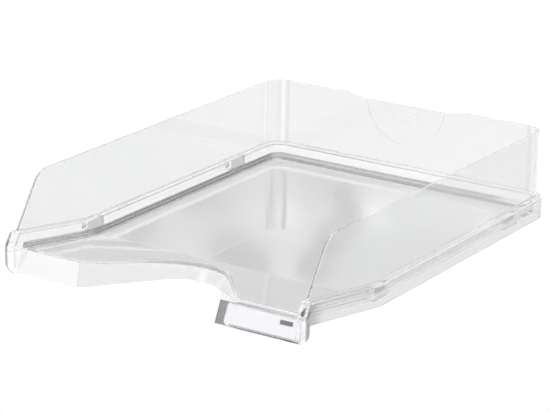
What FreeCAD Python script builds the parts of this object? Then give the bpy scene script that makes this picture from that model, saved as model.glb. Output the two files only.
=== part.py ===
import FreeCAD, Part
import math
import os
import Sketcher
from types import SimpleNamespace

# Clear stackable letter tray for A4 and C4 sheets: one thin-walled moulding with a window and a card
# for the label. Millimetres. X runs to the right, Y to the back and Z up. The origin is on the
# surface that the tray stands on, under the middle of the whole object.

DIMENSIONS = (
    ("width", 255.0, "across the skirt, left to right"),
    ("depth", 348.0, "from the front feet to the back of the skirt"),
    ("height", 68.0, "from the table to the rim"),
    ("wall", 1.8, "thickness of every wall of the moulding"),
    ("ledge_width", 4.5, "from the outside of the wall to the outside of the skirt"),
    ("ledge_top", 15.5, "height of the ledge over the skirt"),
    ("ledge_round", 1.2, "rounding along the outer edge of the ledge"),
    ("tub_step", 2.8, "how far the foot of the wall stands inside the wall above the ledge"),
    ("floor_top", 4.5, "height of the flat floor"),
    ("floor_margin", 1.0, "strip of flat floor that belongs to the swept rim"),
    ("foot_radius", 5.5, "rounding between floor and wall, inside"),
    ("heel_radius", 1.0, "rounding of the same corner, underneath"),
    ("corner_radius", 14.0, "outside rounding of the two rear corners, on the wall"),
    ("ramp_length", 94.0, "from the front feet back to where the floor starts to rise"),
    ("ramp_slope", 0.154, "rise of the ramp for each millimetre towards the front"),
    ("lean", 0.466, "run of the front panel for each millimetre of height"),
    ("cheek_height", 19.0, "height of the upright part of the side wall's front edge"),
    ("edge_run", 0.66, "run of the side wall's front edge for each millimetre of height above that"),
    ("edge_radius", 18.0, "rounding where that edge meets the rim"),
    ("cheek_radius", 8.0, "rounding of the lower outer corner of a front foot"),
    ("web_root", 2.3, "depth of the web beside the front panel, at the table"),
    ("recess_half_width", 64.0, "half the width of the grip recess at the front"),
    ("facet_width", 7.5, "width of the bevel beside the recess"),
    ("facet_angle", 46.0, "angle of that bevel to the front, in degrees"),
    ("side_angle", 51.2, "angle of the side of the recess, in degrees"),
    ("end_half_width", 19.5, "half the width of the recess where its rounded end starts"),
    ("end_angle", 33.4, "angle at which the rounded end starts, in degrees"),
    ("end_radius", 30.0, "rounding of the end of the recess"),
    ("bend_radius", 8.0, "rounding between the side and the end of the recess"),
    ("guard_top", 12.5, "height of the raised edge at the end of the recess"),
    ("guard_slope", 0.064, "rise of that raised edge towards the front"),
    ("guard_y", 66.0, "how far behind the front feet the raised edge has that height"),
    ("dip_depth", 3.0, "depth of the shallow dip in the rear rim"),
    ("dip_half_width", 54.0, "half the width of the dip at the rim"),
    ("dip_run", 16.0, "length of each sloping end of the dip"),
    ("disc_radius", 35.0, "radius of the half disc on the rear wall"),
    ("disc_rise", 0.6, "how far the half disc stands out of the rear wall"),
    ("disc_bend", 34.3, "rounding of the two lower corners that makes it a half disc"),
    ("bar_length", 22.0, "length of the plain raised bar on the half disc"),
    ("bar_height", 8.0, "height of that bar"),
    ("bar_level", 56.0, "height of the middle of that bar"),
    ("bar_rise", 0.5, "how far the bar stands out"),
    ("bar_bend", 3.6, "rounding of the bar's corners"),
    ("block_length", 20.0, "length of a stacking block"),
    ("block_bottom", 5.6, "height of the underside of a stacking block"),
    ("block_top", 15.4, "height up to which a block reaches into the ledge"),
    ("front_block", 86.0, "from the front feet to the near end of the front blocks"),
    ("rear_block", 275.0, "from the front feet to the near end of the rear blocks"),
    ("guide_reach", 2.9, "how far the guide lips stand out of the front panel"),
    ("guide_slot", 2.0, "depth of the slot behind a guide lip"),
    ("guide_gauge", 0.9, "thickness of a guide lip"),
    ("guide_lap", 1.2, "how far a guide lip laps over the window"),
    ("guide_bottom", 0.3, "height of the lower guide, along the panel"),
    ("guide_start", 62.0, "where the guide lips start, right of the middle"),
    ("window_height", 14.5, "height of the window, along the panel"),
    ("window_gauge", 1.2, "thickness of the window's edges"),
    ("window_face", 0.75, "how far the middle of the window stands in front of its edges"),
    ("window_foot", 0.6, "width of the two feet on which the window rests against the panel"),
    ("window_start", 54.5, "left end of the window, right of the middle"),
    ("window_end", 117.6, "right end of the window, right of the middle"),
    ("tab_length", 6.0, "length of the thick finger tab at the left end of the window"),
    ("card_gauge", 0.3, "thickness of the card"),
    ("card_height", 13.0, "height of the card, along the panel"),
    ("card_length", 56.0, "length of the card"),
    ("card_back", 0.2, "clearance behind the card"),
    ("card_end", 0.6, "from the right end of the card to the right end of the window"),
    ("play", 0.15, "clearance between sliding faces"),
    ("tuck", 0.45, "how deep one piece of the moulding reaches into the next"),
)


SIDES = (("right", 1), ("left", -1))

# Two points closer than this are the same point.
SAME_POINT = 0.01


class Size:
    """A number that carries the sheet formula it was worked out with."""

    def __init__(self, value, formula):
        self.value = value
        self.formula = formula

    def __add__(self, other):
        other = as_size(other)
        return Size(self.value + other.value, f"({self.formula} + {other.formula})")

    def __sub__(self, other):
        other = as_size(other)
        return Size(self.value - other.value, f"({self.formula} - {other.formula})")

    def __mul__(self, other):
        other = as_size(other)
        return Size(self.value * other.value, f"({self.formula} * {other.formula})")

    def __truediv__(self, other):
        other = as_size(other)
        return Size(self.value / other.value, f"({self.formula} / {other.formula})")

    def __neg__(self):
        return Size(-self.value, f"(0 - {self.formula})")


def as_size(number):
    return number if isinstance(number, Size) else Size(float(number), f"{float(number)}")


def sine(degrees):
    return Size(math.sin(math.radians(degrees.value)), f"sin({degrees.formula})")


def cosine(degrees):
    return Size(math.cos(math.radians(degrees.value)), f"cos({degrees.formula})")


def tangent(degrees):
    return Size(math.tan(math.radians(degrees.value)), f"tan({degrees.formula})")


def slope_angle(slope):
    return Size(math.degrees(math.atan(slope.value)), f"atan({slope.formula})")


def make_sheet(doc):
    sheet = doc.addObject("Spreadsheet::Sheet", "sheet")
    for row, (alias, value, note) in enumerate(DIMENSIONS, start=1):
        sheet.set(f"A{row}", alias)
        sheet.set(f"B{row}", f"{value}")
        sheet.set(f"C{row}", note)
        sheet.setAlias(f"B{row}", alias)
    doc.recompute()
    return {alias: Size(float(sheet.get(alias)), f"sheet.{alias}") for alias, value, note in DIMENSIONS}


def bind(thing, setting, size):
    """Give a property the formula that keeps it up to date."""
    thing.setExpression(setting, size.formula)


def make_body(doc, label):
    body = doc.addObject("PartDesign::Body", label)
    body.Label = label
    return body


def origin_plane(body, role):
    for feature in body.Origin.OriginFeatures:
        if feature.Role == role:
            return feature
    raise ValueError(f"{body.Label} has no plane {role}")


def make_sketch(body, name, plane, offset=None):
    sketch = body.newObject("Sketcher::SketchObject", name)
    sketch.AttachmentSupport = [(origin_plane(body, plane), "")]
    sketch.MapMode = "FlatFace"
    if offset is not None:
        sketch.AttachmentOffset = FreeCAD.Placement(
            FreeCAD.Vector(0, 0, offset.value), FreeCAD.Rotation())
        bind(sketch, "AttachmentOffset.Base.z", offset)
    return sketch


def fix_point(sketch, geometry, end, corner, tag):
    """Hold one point of a sketch at the sizes of a corner."""
    for axis, size in zip("XY", corner):
        index = sketch.addConstraint(
            Sketcher.Constraint("Distance" + axis, -1, 1, geometry, end, size.value))
        name = f"{tag}_{axis.lower()}"
        sketch.renameConstraint(index, name)
        bind(sketch, "Constraints." + name, size)


def draw_outline(sketch, corners, closed=True):
    """Draw straight sides through corners (x, y) or (x, y, radius), rounded where a radius is given."""
    count = len(corners)
    points = [FreeCAD.Vector(corner[0].value, corner[1].value, 0) for corner in corners]
    arrivals = list(points)
    departures = list(points)
    arcs = {}
    for i, corner in enumerate(corners):
        if len(corner) < 3:
            continue
        before = (points[i - 1] - points[i]).normalize()
        after = (points[(i + 1) % count] - points[i]).normalize()
        half = before.getAngle(after) / 2
        reach = corner[2].value / math.tan(half)
        middle = (before + after).normalize() * (corner[2].value / math.sin(half))
        arrivals[i] = points[i] + before * reach
        departures[i] = points[i] + after * reach
        centre = points[i] + middle
        turns_left = before.cross(after).z < 0
        ends = (arrivals[i], departures[i]) if turns_left else (departures[i], arrivals[i])
        angles = [math.atan2((end - centre).y, (end - centre).x) for end in ends]
        circle = Part.Circle(centre, FreeCAD.Vector(0, 0, 1), corner[2].value)
        arcs[i] = (Part.ArcOfCircle(circle, angles[0], angles[1]), turns_left)
    sides = []
    for i in range(count if closed else count - 1):
        line = Part.LineSegment(departures[i], arrivals[(i + 1) % count])
        sides.append(sketch.addGeometry(line, False))
    for i, corner in enumerate(corners):
        if not closed and i in (0, count - 1):
            side, end = (sides[0], 1) if i == 0 else (sides[-1], 2)
            fix_point(sketch, side, end, corner, f"corner{i}")
            continue
        arriving = sides[i - 1]
        departing = sides[i]
        if i not in arcs:
            sketch.addConstraint(Sketcher.Constraint("Coincident", arriving, 2, departing, 1))
            fix_point(sketch, departing, 1, corner[:2], f"corner{i}")
            continue
        shape, turns_left = arcs[i]
        arc = sketch.addGeometry(shape, False)
        mark = sketch.addGeometry(Part.Point(points[i]), True)
        fix_point(sketch, mark, 1, corner[:2], f"corner{i}")
        first, last = (1, 2) if turns_left else (2, 1)
        sketch.addConstraint(Sketcher.Constraint("PointOnObject", mark, 1, arriving))
        sketch.addConstraint(Sketcher.Constraint("PointOnObject", mark, 1, departing))
        sketch.addConstraint(Sketcher.Constraint("Tangent", arriving, 2, arc, first))
        sketch.addConstraint(Sketcher.Constraint("Tangent", arc, last, departing, 1))
        index = sketch.addConstraint(Sketcher.Constraint("Radius", arc, corner[2].value))
        sketch.renameConstraint(index, f"round{i}")
        bind(sketch, f"Constraints.round{i}", corner[2])


def add_pad(body, sketch, length, reverse=False, both_ways=False):
    pad = body.newObject("PartDesign::Pad", "pad_" + sketch.Name)
    pad.Profile = sketch
    pad.Length = length.value
    bind(pad, "Length", length)
    pad.Reversed = reverse
    if both_ways:
        pad.SideType = "Symmetric"
    return pad


def join(doc, kind, label, shapes):
    """Join shapes with one boolean, a MultiFuse or a MultiCommon."""
    result = doc.addObject("Part::" + kind, label)
    result.Label = label
    result.Shapes = shapes
    return result


def cut(doc, label, base, tool):
    result = doc.addObject("Part::Cut", label)
    result.Label = label
    result.Base = base
    result.Tool = tool
    return result


def lay_out(sheet_sizes):
    """Work out the named places of the tray from the driving dimensions."""
    s = SimpleNamespace(**sheet_sizes)
    s.middle = s.width * 0
    s.skirt_out = s.width / 2
    s.skirt_in = s.skirt_out - s.wall
    s.wall_out = s.skirt_out - s.ledge_width
    s.wall_in = s.wall_out - s.wall
    s.tub_in = s.wall_in - s.tub_step
    s.tub_out = s.tub_in + s.wall
    s.bed_edge = s.tub_in - s.foot_radius - s.floor_margin
    s.floor_under = s.floor_top - s.wall
    s.ledge_under = s.ledge_top - s.wall
    s.lean_angle = slope_angle(s.lean)
    front_reach = s.guide_reach * cosine(s.lean_angle) - s.guide_bottom * sine(s.lean_angle)
    s.back = (s.depth + front_reach) / 2
    s.front = s.back - s.depth
    s.knee = s.front + s.ramp_length
    s.bed_back = s.back - (s.skirt_out - s.bed_edge)
    s.bed_corner = s.corner_radius - (s.wall_out - s.bed_edge)
    s.rear_face = s.back - s.ledge_width
    s.edge_top = s.front + s.edge_run * (s.height - s.cheek_height)
    s.loft_height = s.height / 2
    return s


def rim_section(s, sign):
    """Outline, from the inside out, of one side of the tray: floor, foot, ledge, skirt and wall."""
    return [
        (s.tub_out * sign, s.floor_under, s.heel_radius),
        (s.tub_out * sign, s.ledge_under),
        (s.skirt_in * sign, s.ledge_under),
        (s.skirt_in * sign, s.middle),
        (s.skirt_out * sign, s.middle),
        (s.skirt_out * sign, s.ledge_top, s.ledge_round),
        (s.wall_out * sign, s.ledge_top),
        (s.wall_out * sign, s.height),
        (s.wall_in * sign, s.height),
        (s.wall_in * sign, s.ledge_top),
        (s.tub_in * sign, s.ledge_top),
        (s.tub_in * sign, s.floor_top, s.foot_radius),
    ]


def make_rim(doc, s):
    """The side and rear walls behind the ramp: one section swept round the two rear corners."""
    body = make_body(doc, "rim_body")
    section = make_sketch(body, "rim_section", "XZ_Plane", -s.knee)
    inner_end = [(s.bed_edge, s.floor_under)]
    draw_outline(section, inner_end + rim_section(s, 1) + [(s.bed_edge, s.floor_top)])
    path = make_sketch(body, "rim_path", "XY_Plane")
    draw_outline(path, [
        (s.bed_edge, s.knee),
        (s.bed_edge, s.bed_back, s.bed_corner),
        (-s.bed_edge, s.bed_back, s.bed_corner),
        (-s.bed_edge, s.knee),
    ], closed=False)
    doc.recompute()
    pipe = body.newObject("PartDesign::AdditivePipe", "rim_pipe")
    pipe.Profile = section
    pipe.Spine = (path, [f"Edge{i + 1}" for i in range(len(path.Shape.Edges))])
    return body


def make_bed(doc, s):
    """The flat floor inside the swept rim."""
    body = make_body(doc, "bed_body")
    outline = make_sketch(body, "bed_outline", "XY_Plane", s.floor_under)
    draw_outline(outline, [
        (-s.bed_edge, s.knee),
        (s.bed_edge, s.knee),
        (s.bed_edge, s.bed_back, s.bed_corner),
        (-s.bed_edge, s.bed_back, s.bed_corner),
    ])
    add_pad(body, outline, s.wall)
    return body


def make_ramp(doc, s):
    """The front of the tray: the whole cross-section carried forwards and upwards."""
    body = make_body(doc, "ramp_body")
    section = make_sketch(body, "ramp_section", "XZ_Plane", -s.knee)
    draw_outline(section, rim_section(s, 1) + rim_section(s, -1)[::-1])
    pad = add_pad(body, section, s.ramp_length + s.ledge_width)
    pad.UseCustomVector = True
    pad.AlongSketchNormal = True
    pad.Direction = FreeCAD.Vector(0, -1, s.ramp_slope.value)
    bind(pad, "Direction.z", s.ramp_slope)
    return body


def recess_outline(s, inset, side, rear):
    """Front edge of the tray seen from above, moved into the tray by inset, and closed behind."""
    def moved(x, y, before, after):
        bisector = (before + after) / 2
        stretch = inset / cosine((after - before) / 2)
        return x - sine(bisector) * stretch, y + cosine(bisector) * stretch

    level = s.middle
    facet_x = -s.recess_half_width + s.facet_width
    facet_y = s.front + s.facet_width * tangent(s.facet_angle)
    bend_y = facet_y + (-s.end_half_width - facet_x) * tangent(s.side_angle)
    tip_y = bend_y + s.end_half_width * tangent(s.end_angle)
    left = [
        moved(-s.recess_half_width, s.front, level, s.facet_angle),
        moved(facet_x, facet_y, s.facet_angle, s.side_angle),
        moved(-s.end_half_width, bend_y, s.side_angle, s.end_angle) + (s.bend_radius + inset,),
    ]
    tip = moved(level, tip_y, s.end_angle, -s.end_angle) + (s.end_radius + inset,)
    right = [(-corner[0],) + corner[1:] for corner in reversed(left)]
    ends = [(side, s.front + inset), (side, rear), (-side, rear), (-side, s.front + inset)]
    return left + [tip] + right + ends


def make_front_block(doc, s, label, skin, side, rear):
    """A solid behind the leaning front panels and recess, skin deep inside their front face."""
    body = make_body(doc, label)
    low = make_sketch(body, label + "_low", "XY_Plane")
    draw_outline(low, recess_outline(s, skin, side, rear))
    high = make_sketch(body, label + "_high", "XY_Plane", s.loft_height)
    draw_outline(high, recess_outline(s, skin + s.lean * s.loft_height, side, rear))
    loft = body.newObject("PartDesign::AdditiveLoft", label + "_loft")
    loft.Profile = low
    loft.Sections = [high]
    loft.Ruled = True
    return body


def side_slab(doc, s, label, inner, outer, sign, corners):
    """A slab on one side of the tray with an outline given in Y and Z."""
    body = make_body(doc, label)
    start = inner if sign > 0 else -outer
    sketch = make_sketch(body, label + "_outline", "YZ_Plane", start)
    draw_outline(sketch, corners)
    add_pad(body, sketch, outer - inner)
    return body


def make_front(doc, s):
    """Ramp, front panels, grip recess and the upright front ends of the side walls."""
    ramp = make_ramp(doc, s)
    behind = s.knee + s.ledge_width
    outer_block = make_front_block(doc, s, "front_skin", s.middle, s.tub_in, behind)
    panel_skin = s.wall / cosine(s.lean_angle)
    inner_block = make_front_block(doc, s, "front_core", panel_skin, s.skirt_out, behind + s.wall)
    ends = [side_slab(doc, s, f"wall_end_{name}", s.tub_in, s.skirt_out + s.wall, sign, [
        (s.front, s.middle),
        (behind, s.middle),
        (behind, s.height),
        (s.edge_top, s.height, s.edge_radius),
        (s.front, s.cheek_height),
    ]) for name, sign in SIDES]
    envelope = join(doc, "MultiFuse", "front_envelope", [outer_block] + ends)
    trimmed = join(doc, "MultiCommon", "ramp_trimmed", [ramp, envelope])

    front_floor = s.floor_top + s.ramp_slope * s.ramp_length
    guard_start = s.guard_top + s.guard_slope * s.guard_y
    crossing = (front_floor - guard_start) / (s.ramp_slope - s.guard_slope)
    below = make_body(doc, "panel_limit")
    limit = make_sketch(below, "panel_limit_outline", "YZ_Plane")
    draw_outline(limit, [
        (s.front - s.wall, s.middle),
        (behind, s.middle),
        (behind, guard_start - s.guard_slope * (behind - s.front)),
        (s.front + crossing, front_floor - s.ramp_slope * crossing),
        (s.front - s.wall, front_floor + s.ramp_slope * s.wall),
    ])
    add_pad(below, limit, s.width, both_ways=True)
    shell = cut(doc, "panel_shell", outer_block, inner_block)
    panel = join(doc, "MultiCommon", "front_panel", [shell, below])

    rise = (s.ledge_top + s.ramp_slope * s.ramp_length - s.cheek_height)
    rise = rise / (s.ramp_slope * s.edge_run + 1) - s.tuck
    top = s.cheek_height + rise
    slant = s.edge_run * rise
    pieces = [trimmed, panel]
    for name, sign in SIDES:
        cheek = side_slab(doc, s, f"cheek_{name}", s.tub_in, s.skirt_out, sign, [
            (s.front, s.middle),
            (s.front + s.wall, s.middle),
            (s.front + s.wall, s.cheek_height),
            (s.front + s.wall + slant, top),
            (s.front + slant, top),
            (s.front, s.cheek_height),
        ])
        pieces.append(round_cheek(doc, s, cheek, sign))
        web_top = top - s.wall
        pieces.append(side_slab(doc, s, f"web_{name}", s.tub_in, s.tub_out, sign, [
            (s.front, s.middle),
            (s.front + s.web_root, s.middle),
            (s.front + s.web_root + s.lean * web_top, web_top),
            (s.front + slant, web_top),
            (s.front, s.cheek_height),
        ]))
    return pieces


def round_cheek(doc, s, cheek, sign):
    """Round the lower outer corner of a front foot."""
    doc.recompute()
    corner_x = s.skirt_out.value * sign
    for number, edge in enumerate(cheek.Shape.Edges, start=1):
        ends = [vertex.Point for vertex in edge.Vertexes]
        if all(math.hypot(end.x - corner_x, end.z) < SAME_POINT for end in ends):
            break
    plain = cheek.Tip
    fillet = cheek.newObject("PartDesign::Fillet", cheek.Label + "_round")
    fillet.Base = (plain, [f"Edge{number}"])
    fillet.Radius = s.cheek_radius.value
    bind(fillet, "Radius", s.cheek_radius)
    cheek.Tip = fillet
    return cheek


def make_blocks(doc, s):
    """Four blocks in the channel under the ledge, which rest on the rim of the tray below."""
    blocks = []
    for row, start in (("front", s.front_block), ("rear", s.rear_block)):
        for name, sign in SIDES:
            near = s.front + start
            far = near + s.block_length
            inner = s.tub_in + s.tuck
            outer = s.skirt_in + s.tuck
            blocks.append(side_slab(doc, s, f"block_{row}_{name}", inner, outer, sign, [
                (near, s.block_bottom),
                (far, s.block_bottom),
                (far, s.block_top),
                (near, s.block_top),
            ]))
    return blocks


def make_disc(doc, s):
    """Raised half disc with a plain bar, on the outside of the rear wall."""
    disc = make_body(doc, "disc_body")
    outline = make_sketch(disc, "disc_outline", "XZ_Plane", s.tuck - s.rear_face)
    base = s.height - s.disc_radius
    draw_outline(outline, [
        (-s.disc_radius, s.height),
        (-s.disc_radius, base, s.disc_bend),
        (s.disc_radius, base, s.disc_bend),
        (s.disc_radius, s.height),
    ])
    add_pad(disc, outline, s.tuck + s.disc_rise, reverse=True)
    bar = make_body(doc, "bar_body")
    outline = make_sketch(bar, "bar_outline", "XZ_Plane", s.tuck - s.rear_face)
    low = s.bar_level - s.bar_height / 2
    high = s.bar_level + s.bar_height / 2
    draw_outline(outline, [
        (-s.bar_length / 2, low, s.bar_bend),
        (s.bar_length / 2, low, s.bar_bend),
        (s.bar_length / 2, high, s.bar_bend),
        (-s.bar_length / 2, high, s.bar_bend),
    ])
    add_pad(bar, outline, s.tuck + s.disc_rise + s.bar_rise, reverse=True)
    return [disc, bar]


def make_dip(doc, s):
    """The shape that cuts the shallow dip into the rear rim."""
    reach = s.ledge_width
    dip = make_body(doc, "dip_body")
    outline = make_sketch(dip, "dip_outline", "XZ_Plane", reach - s.rear_face)
    bottom = s.height - s.dip_depth
    over = s.height + s.dip_depth
    inner = s.dip_half_width - s.dip_run
    lift = s.dip_half_width + s.dip_run
    draw_outline(outline, [
        (-inner, bottom, s.dip_half_width),
        (inner, bottom, s.dip_half_width),
        (lift, over),
        (-lift, over),
    ])
    add_pad(dip, outline, reach + reach, reverse=True)
    return dip


def on_panel(s, along, out):
    """Y and Z of a point of the front panel: along it from its foot, and out from its front face."""
    y = s.front + along * sine(s.lean_angle) - out * cosine(s.lean_angle)
    z = along * cosine(s.lean_angle) + out * sine(s.lean_angle)
    return y, z


def panel_strip(doc, s, label, start, end, points):
    """A straight strip on the right front panel, its section given along and out from the panel."""
    return side_slab(doc, s, label, start, end, 1, [on_panel(s, *point) for point in points])


def make_guides(doc, s):
    """Two hooked lips on the right front panel, open to the left, that hold the window."""
    root = -s.tuck
    low = s.guide_bottom
    high = low + s.guide_gauge * 2 + s.play * 2 + s.window_height
    guides = []
    for name, base, turn in (("low", low, 1), ("high", high, -1)):
        inner = base + s.guide_gauge * turn
        tip = inner + s.guide_lap * turn
        section = [
            (base, root),
            (base, s.guide_reach),
            (tip, s.guide_reach),
            (tip, s.guide_slot),
            (inner, s.guide_slot),
            (inner, root),
        ]
        guides.append(panel_strip(doc, s, f"guide_{name}", s.guide_start, s.tub_out, section))
    return guides


def make_tray(doc, s):
    pieces = [make_rim(doc, s), make_bed(doc, s)]
    pieces += make_front(doc, s)
    pieces += make_blocks(doc, s)
    pieces += make_disc(doc, s)
    pieces += make_guides(doc, s)
    moulding = join(doc, "MultiFuse", "moulding", pieces)
    moulding.Refine = True
    return cut(doc, "tray", moulding, make_dip(doc, s))


def make_window(doc, s):
    """Clear window: a flat channel with a thick finger tab at its left end."""
    low = s.guide_bottom + s.guide_gauge + s.play
    high = low + s.window_height
    edge_face = s.guide_slot - s.play
    back_face = edge_face - s.window_gauge
    front_face = edge_face + s.window_face
    foot = s.window_foot
    step = s.guide_lap
    window = panel_strip(doc, s, "window_channel", s.window_start, s.window_end, [
        (low, s.play),
        (low, edge_face),
        (low + step, edge_face),
        (low + step, front_face),
        (high - step, front_face),
        (high - step, edge_face),
        (high, edge_face),
        (high, s.play),
        (high - foot, s.play),
        (high - foot, back_face),
        (low + foot, back_face),
        (low + foot, s.play),
    ])
    tab_low = s.guide_bottom
    tab_high = high + s.guide_gauge
    tab = panel_strip(doc, s, "window_tab", s.window_start, s.window_start + s.tab_length, [
        (tab_low, s.play),
        (tab_low, s.guide_reach),
        (tab_high, s.guide_reach),
        (tab_high, s.play),
        (high - foot, s.play),
        (high - foot, back_face),
        (low + foot, back_face),
        (low + foot, s.play),
    ])
    holder = join(doc, "MultiFuse", "label_holder", [window, tab])
    holder.Refine = True
    return holder


def make_card(doc, s):
    """The paper card between the front panel and the window."""
    low = s.guide_bottom + s.guide_gauge + s.play + s.window_foot + s.play
    high = low + s.card_height
    start = s.window_end - s.card_length - s.card_end
    section = [
        (low, s.card_back),
        (low, s.card_back + s.card_gauge),
        (high, s.card_back + s.card_gauge),
        (high, s.card_back),
    ]
    return panel_strip(doc, s, "label_card", start, start + s.card_length, section)


def check_and_export(doc, parts):
    doc.recompute()
    for thing in doc.Objects:
        if {"Invalid", "Error"} & set(thing.State):
            raise RuntimeError(f"{thing.Label} failed: {thing.State}")
    os.makedirs("parts", exist_ok=True)
    for part in parts:
        shape = part.Shape
        if shape.isNull() or not shape.isValid() or not shape.Solids:
            raise RuntimeError(f"{part.Label} is not a valid solid")
        box = shape.BoundBox
        print(f"{part.Label}: {len(shape.Solids)} solid, {shape.Volume:.0f} mm3, "
              f"x {box.XMin:.2f} {box.XMax:.2f}, y {box.YMin:.2f} {box.YMax:.2f}, "
              f"z {box.ZMin:.2f} {box.ZMax:.2f}")
        shape.exportStep(f"parts/{part.Label}.step")


def main():
    doc = FreeCAD.newDocument("letter_tray")
    sizes = lay_out(make_sheet(doc))
    parts = [make_tray(doc, sizes), make_window(doc, sizes), make_card(doc, sizes)]
    check_and_export(doc, parts)


main()
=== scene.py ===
import math
import bmesh
import bpy
from mathutils import Matrix, Vector


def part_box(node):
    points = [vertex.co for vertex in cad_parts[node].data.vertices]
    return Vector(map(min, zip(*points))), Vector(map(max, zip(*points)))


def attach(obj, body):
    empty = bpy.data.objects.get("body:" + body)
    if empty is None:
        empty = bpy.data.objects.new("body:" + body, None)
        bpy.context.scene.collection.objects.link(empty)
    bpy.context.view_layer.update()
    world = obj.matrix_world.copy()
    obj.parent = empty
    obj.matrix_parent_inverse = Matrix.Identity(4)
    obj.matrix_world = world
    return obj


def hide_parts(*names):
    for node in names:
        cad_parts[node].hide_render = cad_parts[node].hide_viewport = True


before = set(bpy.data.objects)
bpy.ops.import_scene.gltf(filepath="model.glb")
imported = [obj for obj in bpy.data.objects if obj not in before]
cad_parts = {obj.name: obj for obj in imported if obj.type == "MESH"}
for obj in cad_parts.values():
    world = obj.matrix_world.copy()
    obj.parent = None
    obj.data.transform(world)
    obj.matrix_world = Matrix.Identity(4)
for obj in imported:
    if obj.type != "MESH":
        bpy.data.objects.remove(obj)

# Clear letter tray on a white table: camera, studio light, materials and softened edges.
# Metres. X runs to the right, Y to the back and Z up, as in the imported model.

CAMERA_TARGET = Vector((-0.0080, -0.0050, 0.0272))
CAMERA_AZIMUTH = math.radians(32.73)
CAMERA_ELEVATION = math.radians(18.14)
CAMERA_ROLL = math.radians(0.99)
CAMERA_DISTANCE = 1.8662
CAMERA_LENS = 165.55
SENSOR_WIDTH = 36.0

# The tub is the inside of the tray below the ledge: its outline seen from above, the heights of
# floor and ledge, and the ramp that lifts both towards the front.
TUB_HALF_WIDTH = 0.1184
TUB_BACK = 0.16615
TUB_CORNER = 0.0094
FLOOR_TOP = 0.0045
LEDGE_TOP = 0.0155
RAMP_START = -0.0787
RAMP_SLOPE = 0.154
# How close a place must lie to the tub wall's inner face, or to the floor, to count as on it.
ON_WALL = 0.0003
BY_WALL = 0.0006
ON_FLOOR = 0.0002

# Below are tints, from 0 (black) to 1 (clear). Most are painted shade: dark lines and bands, where the
# clear plastic bends light away, painted into its colour.
# Painted shade and light by distance from the inner face of the tub wall: a dark line along its foot and a
# lighter band outside it. Outwards is negative.
TUB_REACH = (-0.010, 0.010)
TUB_PAINTED_SHADE = (
    (-0.0100, 0.98), (0.0002, 0.98), (0.0004, 0.18), (0.0022, 0.18), (0.0030, 0.24),
    (0.0048, 0.34), (0.0060, 0.50), (0.0078, 0.72), (0.0098, 0.90),
)
# How much fainter the painted dark line along the foot of the wall is at the back, on the ramp and
# on the right, where it is gone, and where each of these starts and is full.
BACK_FOOT = 0.20
BACK_FADE = (TUB_BACK - TUB_CORNER, TUB_BACK - TUB_CORNER / 3)
RAMP_FOOT = 0.30
RAMP_FADE = (0.0, 0.02)
RIGHT_FOOT = 1.0
RIGHT_FADE = (0.070, TUB_HALF_WIDTH - TUB_CORNER)
# The strip of painted shade on floor and foot along the rear wall: where it fades in, its top,
# how far from the wall it stops, and how dark it is.
REAR_STRIP = (0.1570, 0.1592)
REAR_TOP = 0.0075
REAR_GAP = 0.0026
REAR_PAINTED_SHADE = 0.19
# Painted shade on the band between ledge and foot, only where it is seen in a reflection.
MIRRORED_PAINTED_SHADE = 0.80
# Painted shade on the skirt, where the camera sees it first: how far outside the tub it starts,
# its top, how dark it is, and its darker front end.
SKIRT_START = -0.0071
SKIRT_TOP = 0.0142
SKIRT_PAINTED_SHADE = 0.62
SKIRT_FRONT = (-0.172, -0.150)
SKIRT_DARK = 0.21
# Painted shade on the stacking blocks behind the tub wall: where they start and end, front to back.
BLOCKS = ((-0.088, -0.068), (0.101, 0.121))
BLOCK_LOW = 0.0054
BLOCK_PAINTED_SHADE = 0.35

# How far a surface faces a way, as the part of its normal along that way.
FACES_UP = 0.9
FACES_FRONT = -0.4
# Painted shade on the sloping front edge of a side wall: its inner half is painted darker than its outer
# half.
CHEEK_TOP = 0.030
EDGE_START = 0.1204
EDGE_BACK = -0.12
EDGE_MIDDLE = 0.1221
EDGE_INNER = 0.18
EDGE_OUTER = 0.70
# Painted shade on the rim, and on the rounded front edge of the ramp up to the label window.
RIM_HEIGHT = 0.064
RIM_PAINTED_SHADE = 0.65
LIP_PAINTED_SHADE = 0.55
LIP_END = 0.052
LIP_UP = (0.5, 0.97)
LIP_FRONT = -0.1
# The walls above the ledge change their tint a little towards the back.
WALL_START = 0.0165
WALL_FADE = (-0.02, 0.12)
WALL_TINT = 0.89
# Upright lines of painted shade round a rear corner: from one angle to another round it, in degrees, and
# their painted shade.
CORNER_LINES = (
    (-10, -3, 0.95),
    (0, 10, 0.84),
    (46, 60, 0.86),
    (65, 76, 0.96),
    (82, 94, 0.80),
)
# Painted shade on the lower guide of the label window, and on the thick tab at the window's left end.
GUIDE_FRONT = -0.1731
GUIDE_TOP = 0.0020
GUIDE_PAINTED_SHADE = 0.30
TAB_END = 0.0606
TAB_PAINTED_SHADE = 0.24

# The clear plastic: refraction, colours, how much darker its streaks are, haze in its depth, and
# how rough fine scuffs make it.
PLASTIC_IOR = 1.57
TRAY_COLOUR = (0.875, 0.88, 0.885)
WINDOW_COLOUR = (0.93, 0.935, 0.94)
STREAK = 0.985
HAZE_COLOUR = (0.86, 0.875, 0.885, 1.0)
HAZE_DENSITY = 6.0
SHADOW_COLOUR = (0.995, 0.995, 0.995, 1.0)
SCUFFS = (0.35, 0.75)
ROUGHNESS = (0.015, 0.05)
LIGHT_BOUNCES = 32
# Light that has been turned this often inside the clear plastic leaks out of it.
LEAK_AFTER = 6.5

TABLE_WHITE = ((0.93, 0.93, 0.93, 1.0), (0.95, 0.95, 0.95, 1.0))
TABLE_SIZE = 12.0
TABLE_HEIGHT = -0.0002
# The card's paper, and the plain bar printed on it: how far its sides lie inside the card's
# right end and top.
CARD_WHITE = ((0.575, 0.572, 0.595, 1.0), (0.615, 0.612, 0.635, 1.0))
INK = (0.03, 0.03, 0.035, 1.0)
BAR_INSIDE = (0.0140, 0.0038)
BAR_BELOW = (0.0046, 0.0017)

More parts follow.
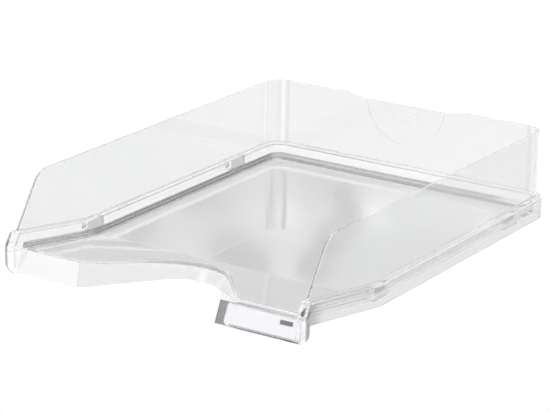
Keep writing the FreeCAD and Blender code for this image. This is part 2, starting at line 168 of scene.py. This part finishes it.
# The front edge of the ramp is rounded: radius, where this edge lies, and how far the front
# panels below it face the front and up.
LIP_ROUND = 0.0016
LIP_BACK = -0.105
LIP_SIDE = 0.118
LIP_LOW = 0.010
PANEL_FRONT = -0.3
PANEL_UP = 0.2
WELD = 0.000005

# Kinds of face, kept as material numbers while the edges are rounded.
FLAT = 0
CURVED = 1
ROUNDED = 2
FLAT_ENOUGH = math.cos(math.radians(0.3))
SAME_SURFACE = math.cos(math.radians(50))
SAME_PLANE = math.radians(0.1)
SHARP_EDGE = math.radians(30)

# Brightness of the studio, from the horizon (0) to straight up (1).
SKY_BY_HEIGHT = (
    (0.0, 0.62), (0.12, 0.60), (0.24, 0.61), (0.36, 0.61), (0.62, 0.55), (0.80, 1.6), (1.0, 1.8),
)
# The front of the studio has this share of the brightness; the share changes over this part of Y.
SKY_FRONT_SHARE = 0.9
SKY_FRONT_FADE = (-0.5, 0.4)

# Soft screens and gaps that the tray mirrors, all behind the table but the last, which is in front
# on the left: degrees left of straight back, degrees above the horizon, spread in degrees, and
# brightness added or taken away.
SKY_PATCHES = (
    (33.85, 19.2, 0.38, -1.20),
    (33.3, 19.6, 0.38, -0.90),
    (34.2, 17.8, 0.60, -0.40),
    (33.2, 18.4, 0.35, 0.25),
    (32.5, 18.3, 0.34, 0.45),
    (31.1, 17.9, 0.24, -0.75),
    (30.95, 18.35, 0.24, -1.90),
    (31.4, 18.8, 0.30, -1.50),
    (31.8, 19.5, 0.32, -1.30),
    (30.3, 18.35, 0.36, 0.95),
    (29.0, 17.9, 0.70, 0.50),
    (27.7, 18.5, 0.50, 0.70),
    (31.5, 17.1, 0.80, -0.35),
    (34.8, 18.0, 0.35, -0.45),
    (36.1, 18.6, 0.50, -0.90),
    (33.2, 19.2, 0.50, -0.25),
    (145.6, 24.3, 10.0, 1.5),
)

# Lamps that light the table and the card: name, strength, spread, tilt and turn in degrees.
SUNS = (
    ("top_panel", 2.6, 80, 20, 30),
    ("front_panel", 2.3, 60, 65, 25),
)


def link(tree, start, end):
    tree.links.new(start, end)


def add_node(tree, kind, **settings):
    node = tree.nodes.new(kind)
    for name, value in settings.items():
        if hasattr(node, name):
            setattr(node, name, value)
        else:
            node.inputs[name.replace("_", " ")].default_value = value
    return node


def new_material(name):
    material = bpy.data.materials.new(name)
    material.use_nodes = True
    tree = material.node_tree
    tree.nodes.clear()
    output = tree.nodes.new("ShaderNodeOutputMaterial")
    return material, tree, output


def maths(tree, operation, first, second=None):
    node = tree.nodes.new("ShaderNodeMath")
    node.operation = operation
    for socket, given in zip(node.inputs, (first, second)):
        if given is None:
            continue
        if isinstance(given, (int, float)):
            socket.default_value = given
        else:
            link(tree, given, socket)
    return node.outputs["Value"]


def every(tree, *tests):
    """1 where every test is 1. A share among the tests comes through where the others are 1."""
    result = tests[0]
    for test in tests[1:]:
        result = maths(tree, "MULTIPLY", result, test)
    return result


def over(tree, value, limit):
    return maths(tree, "GREATER_THAN", value, limit)


def under(tree, value, limit):
    return maths(tree, "LESS_THAN", value, limit)


def between(tree, value, start, end):
    return every(tree, over(tree, value, start), under(tree, value, end))


def mixed(tree, factor, first, second):
    """Colour that goes from first to second as the factor goes from 0 to 1."""
    node = tree.nodes.new("ShaderNodeMix")
    node.data_type = "RGBA"
    link(tree, factor, node.inputs["Factor"])
    for socket, given in (("A", first), ("B", second)):
        if isinstance(given, (int, float)):
            node.inputs[socket].default_value = (given, given, given, 1.0)
        elif isinstance(given, tuple):
            node.inputs[socket].default_value = given
        else:
            link(tree, given, node.inputs[socket])
    return node.outputs["Result"]


def fade(tree, value, start, end):
    """0 at start, 1 at end and smooth between."""
    node = tree.nodes.new("ShaderNodeMapRange")
    node.interpolation_type = "SMOOTHSTEP"
    node.inputs["From Min"].default_value = start
    node.inputs["From Max"].default_value = end
    link(tree, value, node.inputs["Value"])
    return node.outputs["Result"]


def parts_of(tree, vector):
    """The X, Y and Z of a vector, each as a socket."""
    node = tree.nodes.new("ShaderNodeSeparateXYZ")
    link(tree, vector, node.inputs["Vector"])
    return node.outputs["X"], node.outputs["Y"], node.outputs["Z"]


def steps(tree, value, stops):
    """A value that runs through pairs of place (0 to 1) and brightness."""
    node = tree.nodes.new("ShaderNodeValToRGB")
    elements = node.color_ramp.elements
    while len(elements) < len(stops):
        elements.new(1.0)
    for element, (position, brightness) in zip(elements, stops):
        element.position = position
        element.color = (brightness, brightness, brightness, 1.0)
    link(tree, value, node.inputs["Fac"])
    return node.outputs["Color"]


def tab_painted_shade(tree, place, colour):
    """Painted shade: the window's tab, a thick bar, is painted darker than the thin window."""
    x = parts_of(tree, place)[0]
    return mixed(tree, under(tree, x, TAB_END), colour, TAB_PAINTED_SHADE)


def distance_into_tub(tree, x, y):
    """Distance inwards from the inner face of the tub wall, round the rear corners too."""
    side = maths(tree, "SUBTRACT", maths(tree, "ABSOLUTE", x), TUB_HALF_WIDTH - TUB_CORNER)
    side = maths(tree, "MAXIMUM", side, 0.0)
    rear = maths(tree, "SUBTRACT", y, TUB_BACK - TUB_CORNER)
    rear = maths(tree, "MAXIMUM", rear, 0.0)
    squares = maths(tree, "ADD", maths(tree, "MULTIPLY", side, side), maths(tree, "MULTIPLY", rear, rear))
    return maths(tree, "SUBTRACT", TUB_CORNER, maths(tree, "SQRT", squares))


def tub_painted_shade(tree, x, y, z, colour):
    """Paint light and shade by the tub wall: a dark foot line, a lighter ledge band, a darker skirt and
    rear strip, and the band darker in reflections.
    """
    ray = tree.nodes.new("ShaderNodeLightPath")
    direct = under(tree, ray.outputs["Glossy Depth"], 0.5)
    reflected = over(tree, ray.outputs["Glossy Depth"], 0.5)
    inwards = distance_into_tub(tree, x, y)
    rise = maths(tree, "MAXIMUM", maths(tree, "SUBTRACT", RAMP_START, y), 0.0)
    level = maths(tree, "SUBTRACT", z, maths(tree, "MULTIPLY", rise, RAMP_SLOPE))

    # Painted shade: a dark line along the foot of the tub wall, by distance from the wall.
    start, end = TUB_REACH
    reach = maths(tree, "DIVIDE", maths(tree, "SUBTRACT", inwards, start), end - start)
    stops = [((distance - start) / (end - start), tint) for distance, tint in TUB_PAINTED_SHADE]
    lined = steps(tree, reach, stops)

    foot = every(tree, over(tree, level, FLOOR_TOP - ON_FLOOR), over(tree, inwards, ON_WALL))
    # Where the painted foot shade is fainter: at the back, on the ramp and on the right.
    back = maths(tree, "MULTIPLY", fade(tree, y, *BACK_FADE), BACK_FOOT)
    ramp = maths(tree, "MULTIPLY", fade(tree, rise, *RAMP_FADE), RAMP_FOOT)
    right = maths(tree, "MULTIPLY", fade(tree, x, *RIGHT_FADE), RIGHT_FOOT)
    faint = maths(tree, "MAXIMUM", maths(tree, "ADD", back, ramp), right)
    lined = mixed(tree, every(tree, faint, foot), lined, colour)

    # Painted shade on the skirt for camera rays, darker towards its front end.
    skirt = every(tree, under(tree, inwards, SKIRT_START), under(tree, level, SKIRT_TOP),
                  ray.outputs["Is Camera Ray"])
    along = mixed(tree, fade(tree, y, *SKIRT_FRONT), SKIRT_DARK, SKIRT_PAINTED_SHADE)
    lined = mixed(tree, skirt, lined, along)

    # Painted light and shade of foot line, band and skirt, left out of reflections.
    outside = under(tree, inwards, ON_WALL)
    tub = every(tree, maths(tree, "MAXIMUM", foot, outside), direct,
                under(tree, level, LEDGE_TOP + ON_WALL))
    colour = mixed(tree, tub, colour, lined)
    # Painted shade on the strip of floor and foot along the rear wall.
    strip = every(tree, fade(tree, y, *REAR_STRIP), foot, direct, under(tree, z, REAR_TOP),
                  over(tree, inwards, REAR_GAP))
    colour = mixed(tree, strip, colour, REAR_PAINTED_SHADE)
    # Painted shade on the band below the ledge, in reflections only.
    band = every(tree, reflected, outside, under(tree, level, LEDGE_TOP))
    colour = mixed(tree, band, colour, MIRRORED_PAINTED_SHADE)
    return colour, inwards, direct


def tray_painted_shade(tree, place, colour):
    """Paint light and shade by the tub wall, paint shade at the tray's edges, rim, lip, corner lines,
    blocks and lower guide, and change the walls' tint a little towards the back.
    """
    x, y, z = parts_of(tree, place)
    colour, inwards, direct = tub_painted_shade(tree, x, y, z, colour)
    surface = tree.nodes.new("ShaderNodeNewGeometry")
    _, along, upwards = parts_of(tree, surface.outputs["Normal"])
    width = maths(tree, "ABSOLUTE", x)

    # Painted shade on the sloping front edges of the side walls.
    edge = every(tree, under(tree, along, FACES_FRONT), over(tree, width, EDGE_START),
                 over(tree, z, CHEEK_TOP), under(tree, y, EDGE_BACK))
    halves = mixed(tree, over(tree, width, EDGE_MIDDLE), EDGE_INNER, EDGE_OUTER)
    colour = mixed(tree, edge, colour, halves)
    # Painted shade on the top of the rim.
    rim = every(tree, over(tree, upwards, FACES_UP), over(tree, z, RIM_HEIGHT))
    colour = mixed(tree, rim, colour, RIM_PAINTED_SHADE)
    # Painted shade on the rounded front edge of the ramp.
    lip = every(tree, between(tree, upwards, *LIP_UP), under(tree, along, LIP_FRONT),
                under(tree, width, LIP_SIDE), under(tree, x, LIP_END), under(tree, y, LIP_BACK))
    colour = mixed(tree, lip, colour, LIP_PAINTED_SHADE)

    walls = every(tree, over(tree, z, WALL_START), fade(tree, y, *WALL_FADE))
    colour = mixed(tree, walls, colour, WALL_TINT)
    past_side = maths(tree, "SUBTRACT", width, TUB_HALF_WIDTH - TUB_CORNER)
    past_rear = maths(tree, "SUBTRACT", y, TUB_BACK - TUB_CORNER)
    turn = maths(tree, "ARCTAN2", past_rear, past_side)
    # Painted shade lines upright round the rear corners.
    for start, end, tint in CORNER_LINES:
        line = every(tree, over(tree, z, LEDGE_TOP),
                     between(tree, turn, math.radians(start), math.radians(end)))
        colour = mixed(tree, line, colour, tint)

    # Painted shade on the stacking blocks, left out of reflections.
    for start, end in BLOCKS:
        block = every(tree, between(tree, y, start, end), between(tree, inwards, -BY_WALL, BY_WALL),
                      between(tree, z, BLOCK_LOW, LEDGE_TOP), direct)
        colour = mixed(tree, block, colour, BLOCK_PAINTED_SHADE)
    # Painted shade on the lower guide of the label window.
    guide = every(tree, under(tree, y, GUIDE_FRONT), under(tree, z, GUIDE_TOP))
    return mixed(tree, guide, colour, GUIDE_PAINTED_SHADE)


def noise(tree, place, **settings):
    node = add_node(tree, "ShaderNodeTexNoise", **settings)
    link(tree, place, node.inputs["Vector"])
    return node.outputs["Fac"]


def clear_plastic(name, tint, add_painted_shade):
    """Polished clear polystyrene: slight tint, slow ripples of the mould, fine scuffs, and the painted
    shade that the given function adds.
    """
    material, tree, output = new_material(name)
    place = tree.nodes.new("ShaderNodeTexCoord").outputs["Object"]

    bump = add_node(tree, "ShaderNodeBump", Strength=0.01, Distance=0.0006)
    link(tree, noise(tree, place, Scale=26.0, Detail=2.0, Roughness=0.45), bump.inputs["Height"])

    gloss = tree.nodes.new("ShaderNodeMapRange")
    for socket, number in zip(("From Min", "From Max", "To Min", "To Max"), (*SCUFFS, *ROUGHNESS)):
        gloss.inputs[socket].default_value = number
    link(tree, noise(tree, place, Scale=240.0, Detail=4.0, Roughness=0.6), gloss.inputs["Value"])

    flow = noise(tree, place, Scale=7.0, Detail=1.0)
    darker = tuple(channel * STREAK for channel in tint)
    colour = mixed(tree, flow, (*darker, 1.0), (*tint, 1.0))
    # The given function paints shade into the colour.
    colour = add_painted_shade(tree, place, colour)

    body = tree.nodes.new("ShaderNodeBsdfPrincipled")
    body.inputs["IOR"].default_value = PLASTIC_IOR
    body.inputs["Transmission Weight"].default_value = 1.0
    link(tree, colour, body.inputs["Base Color"])
    link(tree, gloss.outputs["Result"], body.inputs["Roughness"])
    link(tree, bump.outputs["Normal"], body.inputs["Normal"])

    shade = tree.nodes.new("ShaderNodeBsdfTransparent")
    shade.inputs["Color"].default_value = SHADOW_COLOUR
    ray = tree.nodes.new("ShaderNodeLightPath")
    passes = maths(tree, "MAXIMUM", ray.outputs["Is Shadow Ray"], ray.outputs["Is Diffuse Ray"])
    passes = maths(tree, "MAXIMUM", passes, over(tree, ray.outputs["Ray Depth"], LEAK_AFTER))
    blend = tree.nodes.new("ShaderNodeMixShader")
    link(tree, passes, blend.inputs["Fac"])
    link(tree, body.outputs["BSDF"], blend.inputs[1])
    link(tree, shade.outputs["BSDF"], blend.inputs[2])
    link(tree, blend.outputs["Shader"], output.inputs["Surface"])

    haze = tree.nodes.new("ShaderNodeVolumeAbsorption")
    haze.inputs["Color"].default_value = HAZE_COLOUR
    haze.inputs["Density"].default_value = HAZE_DENSITY
    link(tree, haze.outputs["Volume"], output.inputs["Volume"])
    return material


def card_paper(name):
    """Matt white card with a plain dark bar printed near its right end."""
    material, tree, output = new_material(name)
    place = tree.nodes.new("ShaderNodeTexCoord").outputs["Object"]
    fibres = noise(tree, place, Scale=900.0, Detail=3.0)
    white = mixed(tree, fibres, *CARD_WHITE)

    x, _, z = parts_of(tree, place)
    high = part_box("label_card")[1]
    bar = every(tree,
                between(tree, x, high.x - BAR_INSIDE[0], high.x - BAR_INSIDE[1]),
                between(tree, z, high.z - BAR_BELOW[0], high.z - BAR_BELOW[1]))
    printed = mixed(tree, bar, white, INK)

    body = tree.nodes.new("ShaderNodeBsdfPrincipled")
    body.inputs["Roughness"].default_value = 0.7
    link(tree, printed, body.inputs["Base Color"])
    link(tree, body.outputs["BSDF"], output.inputs["Surface"])
    return material


def table_top(name):
    """Plain white table with a very faint unevenness."""
    material, tree, output = new_material(name)
    place = tree.nodes.new("ShaderNodeTexCoord").outputs["Object"]
    grain = noise(tree, place, Scale=3.0, Detail=2.0)
    white = mixed(tree, grain, *TABLE_WHITE)
    body = tree.nodes.new("ShaderNodeBsdfDiffuse")
    link(tree, white, body.inputs["Color"])
    link(tree, body.outputs["BSDF"], output.inputs["Surface"])
    return material


def mark_flat_faces(data):
    """Tell flat faces from curved ones by their packed corner normals, as material numbers."""
    normals = [corner.vector for corner in data.corner_normals]
    kinds = []
    for polygon in data.polygons:
        level = all(normals[i].dot(polygon.normal) > FLAT_ENOUGH for i in polygon.loop_indices)
        kinds.append(FLAT if level else CURVED)
    return kinds


def is_lip(edge):
    """True for the edges where the front panels meet the ramp."""
    middle = (edge.verts[0].co + edge.verts[1].co) / 2
    if middle.y > LIP_BACK or abs(middle.x) > LIP_SIDE or middle.z < LIP_LOW:
        return False
    tops = [face for face in edge.link_faces if face.normal.z > FACES_UP]
    fronts = [face for face in edge.link_faces if face.normal.y < PANEL_FRONT and face.normal.z > PANEL_UP]
    return bool(tops) and bool(fronts)


def round_lip(thing):
    bevel = thing.modifiers.new("lip", "BEVEL")
    bevel.width = LIP_ROUND
    bevel.segments = 2
    bevel.limit_method = "WEIGHT"
    bevel.edge_weight = "lip_round"
    bevel.material = ROUNDED
    bevel.use_clamp_overlap = False


def smooth_corners(data):
    """Give each face corner the normal of the real surface, so that flat faces stay flat."""
    faces_at = [[] for vertex in data.vertices]
    for polygon in data.polygons:
        for vertex in polygon.vertices:
            faces_at[vertex].append(polygon)
    normals = []
    for polygon in data.polygons:
        for vertex in polygon.vertices:
            if polygon.material_index == FLAT:
                normals.append(polygon.normal.copy())
                continue
            near = [face for face in faces_at[vertex] if face.normal.dot(polygon.normal) > SAME_SURFACE]
            flats = [face for face in near if face.material_index == FLAT]
            if flats:
                normals.append(max(flats, key=lambda face: face.area).normal.copy())
                continue
            total = Vector((0.0, 0.0, 0.0))
            for face in near:
                total += face.normal * face.area
            normals.append(total.normalized())
    for polygon in data.polygons:
        polygon.use_smooth = True
        polygon.material_index = 0
    data.normals_split_custom_set(normals)


def softened(node, material, with_lip):
    """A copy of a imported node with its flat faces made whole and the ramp's front edge rounded."""
    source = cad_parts[node]
    kinds = mark_flat_faces(source.data)
    mesh = bmesh.new()
    mesh.from_mesh(source.data)
    for face, kind in zip(mesh.faces, kinds):
        face.material_index = kind
    bmesh.ops.remove_doubles(mesh, verts=mesh.verts, dist=WELD)
    bmesh.ops.dissolve_limit(
        mesh, angle_limit=SAME_PLANE, verts=mesh.verts, edges=mesh.edges,
        delimit={"MATERIAL"})
    bmesh.ops.recalc_face_normals(mesh, faces=mesh.faces)
    lip = mesh.edges.layers.float.new("lip_round")
    candidates = [edge for edge in mesh.edges if with_lip and len(edge.link_faces) == 2]
    for edge in candidates:
        if edge.calc_face_angle() >= SHARP_EDGE and is_lip(edge):
            edge[lip] = 1.0
    data = bpy.data.meshes.new(node + "_sharp")
    mesh.to_mesh(data)
    mesh.free()
    for kind in (FLAT, CURVED, ROUNDED):
        data.materials.append(None)
    rough = bpy.data.objects.new(node + "_sharp", data)
    bpy.context.scene.collection.objects.link(rough)
    if with_lip:
        round_lip(rough)
    bpy.context.view_layer.update()
    ready = rough.evaluated_get(bpy.context.evaluated_depsgraph_get())
    soft = bpy.data.meshes.new_from_object(ready)
    bpy.data.objects.remove(rough)
    soft.name = node + "_soft"
    smooth_corners(soft)
    soft.materials.clear()
    soft.materials.append(material)
    copy = bpy.data.objects.new(node + "_soft", soft)
    bpy.context.scene.collection.objects.link(copy)
    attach(copy, node)
    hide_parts(node)
    return copy


def build_stage():
    bpy.ops.mesh.primitive_plane_add(size=TABLE_SIZE, location=(0, 0, TABLE_HEIGHT))
    floor = bpy.context.object
    floor.name = "table"
    floor.data.materials.append(table_top("table_white"))


def toward(azimuth, elevation):
    """Direction from degrees left of straight back and degrees above the horizon."""
    turn = math.radians(azimuth)
    lift = math.radians(elevation)
    return (-math.sin(turn) * math.cos(lift), math.cos(turn) * math.cos(lift), math.sin(lift))


def sky_value(tree, direction):
    """Brightness of the studio by direction: pale walls, a bright panel overhead and soft patches."""
    _, y, z = parts_of(tree, direction)
    height = steps(tree, z, SKY_BY_HEIGHT)
    facing = fade(tree, y, *SKY_FRONT_FADE)
    share = mixed(tree, facing, SKY_FRONT_SHARE, 1.0)
    value = maths(tree, "MULTIPLY", height, share)
    for azimuth, elevation, spread, strength in SKY_PATCHES:
        dot = tree.nodes.new("ShaderNodeVectorMath")
        dot.operation = "DOT_PRODUCT"
        dot.inputs[1].default_value = toward(azimuth, elevation)
        link(tree, direction, dot.inputs[0])
        gap = maths(tree, "SUBTRACT", dot.outputs["Value"], 1.0)
        fall = maths(tree, "MULTIPLY", gap, 2 / math.radians(spread) ** 2)
        patch = maths(tree, "EXPONENT", fall)
        value = maths(tree, "ADD", value, maths(tree, "MULTIPLY", patch, strength))
    return maths(tree, "MAXIMUM", value, 0.0)


def build_light():
    world = bpy.data.worlds.new("studio")
    bpy.context.scene.world = world
    world.use_nodes = True
    world.cycles_visibility.diffuse = False
    tree = world.node_tree
    tree.nodes.clear()
    place = tree.nodes.new("ShaderNodeTexCoord")
    back = tree.nodes.new("ShaderNodeBackground")
    link(tree, sky_value(tree, place.outputs["Generated"]), back.inputs["Color"])
    output = tree.nodes.new("ShaderNodeOutputWorld")
    link(tree, back.outputs["Background"], output.inputs["Surface"])
    for name, strength, spread, tilt, turn in SUNS:
        data = bpy.data.lights.new(name, "SUN")
        data.energy = strength
        data.angle = math.radians(spread)
        lamp = bpy.data.objects.new(name, data)
        lamp.rotation_euler = (math.radians(tilt), 0, math.radians(turn))
        lamp.visible_glossy = False
        lamp.visible_transmission = False
        bpy.context.scene.collection.objects.link(lamp)


def build_camera():
    data = bpy.data.cameras.new("camera")
    data.lens = CAMERA_LENS
    data.sensor_width = SENSOR_WIDTH
    data.clip_start = 0.05
    data.clip_end = 60.0
    camera = bpy.data.objects.new("camera", data)
    bpy.context.scene.collection.objects.link(camera)
    back = Vector((
        math.sin(CAMERA_AZIMUTH) * math.cos(CAMERA_ELEVATION),
        -math.cos(CAMERA_AZIMUTH) * math.cos(CAMERA_ELEVATION),
        math.sin(CAMERA_ELEVATION),
    ))
    level = back.to_track_quat("Z", "Y").to_matrix()
    turned = level @ Matrix.Rotation(CAMERA_ROLL, 3, "Z")
    camera.matrix_world = Matrix.Translation(CAMERA_TARGET + back * CAMERA_DISTANCE) @ turned.to_4x4()
    bpy.context.scene.camera = camera


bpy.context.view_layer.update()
bpy.context.scene.view_settings.view_transform = "Standard"
cycles = bpy.context.scene.cycles
cycles.max_bounces = LIGHT_BOUNCES
cycles.glossy_bounces = LIGHT_BOUNCES
cycles.transmission_bounces = LIGHT_BOUNCES
cycles.transparent_max_bounces = LIGHT_BOUNCES
build_camera()
build_light()
build_stage()

tray = softened("tray", clear_plastic("clear_moulding", TRAY_COLOUR, tray_painted_shade), True)
holder = softened("label_holder", clear_plastic("clear_window", WINDOW_COLOUR, tab_painted_shade), False)

paper = card_paper("card_paper")
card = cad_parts["label_card"]
for slot in card.material_slots:
    slot.material = paper
